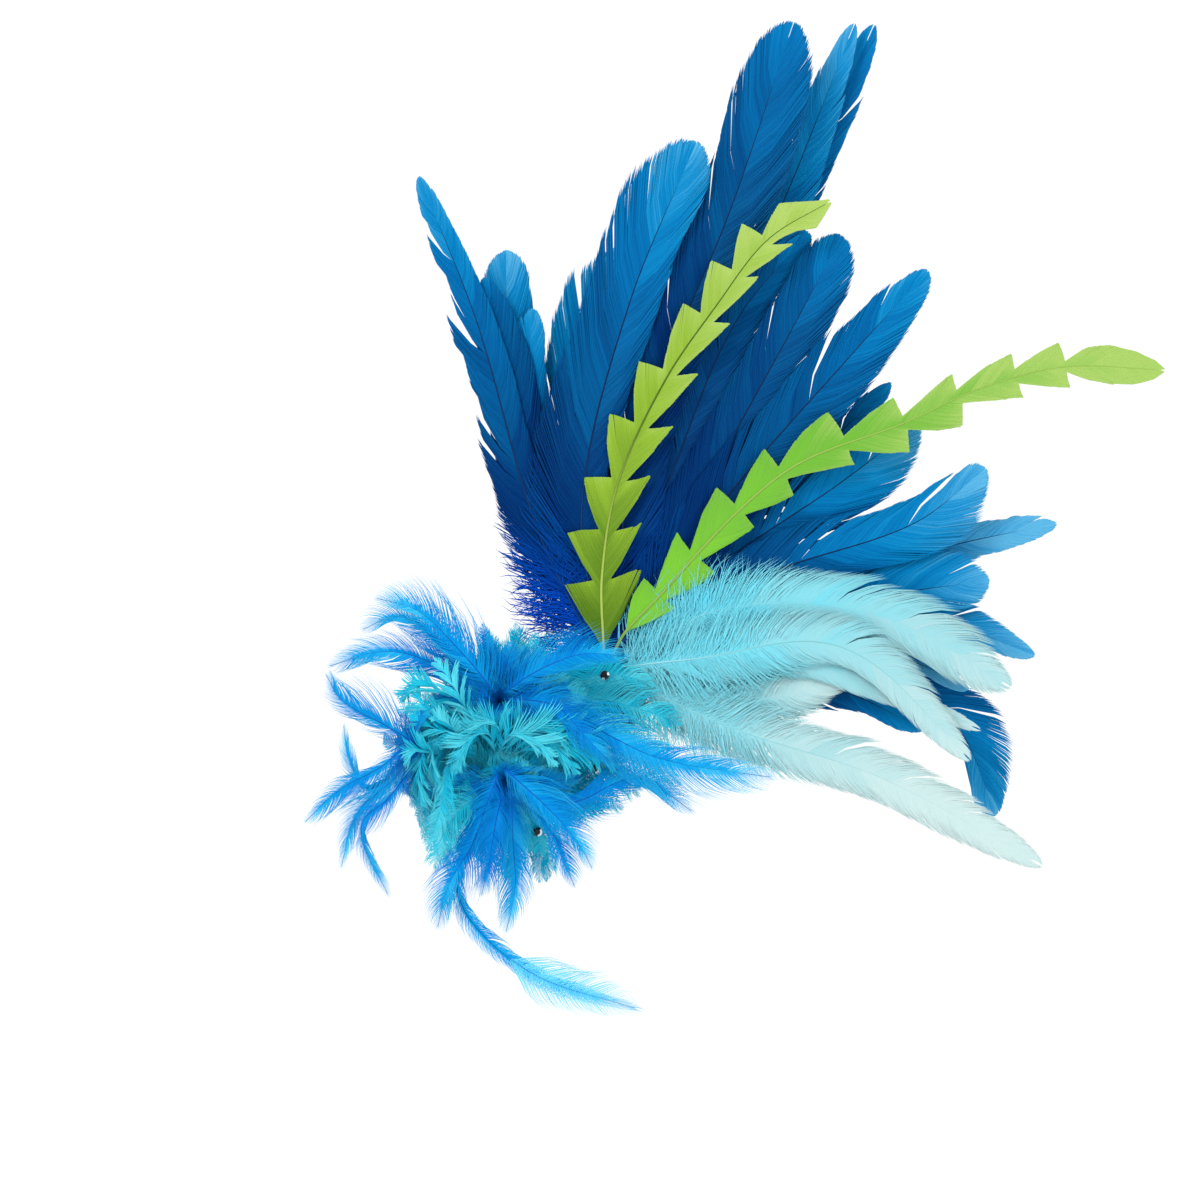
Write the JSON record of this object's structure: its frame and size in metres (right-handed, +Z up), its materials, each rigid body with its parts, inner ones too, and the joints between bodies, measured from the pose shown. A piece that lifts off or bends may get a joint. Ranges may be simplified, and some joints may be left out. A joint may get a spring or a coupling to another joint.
{
  "type": "feather hair clip",
  "caption": "Side hair clip with a tall fan of blue feathers, trimmed green feathers, pale turquoise feathers and three plume flowers set with small dark stones.",
  "frame": {"origin": "middle of the clip's grip, half way between its jaws", "axes": "+Z up, towards the top of the fan; +Y in towards the head, square to the pad; +X towards the side that the fan opens to"},
  "size_m": [0.4279, 0.0611, 0.4925],
  "materials": {
    "clip_steel": "plain sprung steel",
    "felt": "pressed wool felt",
    "coque_blue": "dyed feather with a satin sheen",
    "leaf_green": "dyed feather, trimmed",
    "mint": "dyed feather, thin and pale",
    "turquoise": "dyed soft plumes",
    "azure": "dyed slender feather",
    "crystal": "polished, faceted"
  },
  "bodies": {
    "root": {"hair_clip": "clip_steel", "felt_pad": "felt", "blue_coque_01": "coque_blue", "blue_coque_02": "coque_blue", "blue_coque_03": "coque_blue", "blue_coque_04": "coque_blue", "blue_coque_05": "coque_blue", "blue_coque_06": "coque_blue", "blue_coque_07": "coque_blue", "blue_coque_08": "coque_blue", "blue_coque_09": "coque_blue", "blue_coque_10": "coque_blue", "blue_coque_11": "coque_blue", "blue_coque_12": "coque_blue", "blue_coque_13": "coque_blue", "blue_coque_14": "coque_blue", "blue_coque_15": "coque_blue", "blue_coque_16": "coque_blue", "blue_coque_17": "coque_blue", "blue_coque_18": "coque_blue", "blue_coque_19": "coque_blue", "blue_coque_20": "coque_blue", "blue_coque_21": "coque_blue", "blue_coque_22": "coque_blue", "green_notched_1": "leaf_green", "green_notched_2": "leaf_green", "mint_saddle_1": "mint", "mint_saddle_2": "mint", "mint_saddle_3": "mint", "mint_saddle_4": "mint", "mint_saddle_5": "mint", "turquoise_flower_1": "turquoise", "turquoise_flower_2": "turquoise", "turquoise_flower_3": "turquoise", "azure_hackle_01": "azure", "azure_hackle_02": "azure", "azure_hackle_03": "azure", "azure_hackle_04": "azure", "azure_hackle_05": "azure", "azure_hackle_06": "azure", "azure_hackle_07": "azure", "azure_hackle_08": "azure", "azure_hackle_09": "azure", "azure_hackle_10": "azure", "azure_hackle_11": "azure", "azure_hackle_12": "azure", "azure_hackle_13": "azure", "azure_hackle_14": "azure", "azure_hackle_15": "azure", "azure_hackle_16": "azure", "azure_hackle_17": "azure", "azure_hackle_18": "azure", "dark_crystal_1": "crystal", "dark_crystal_2": "crystal", "dark_crystal_3": "crystal"}
  },
  "joints": []
}
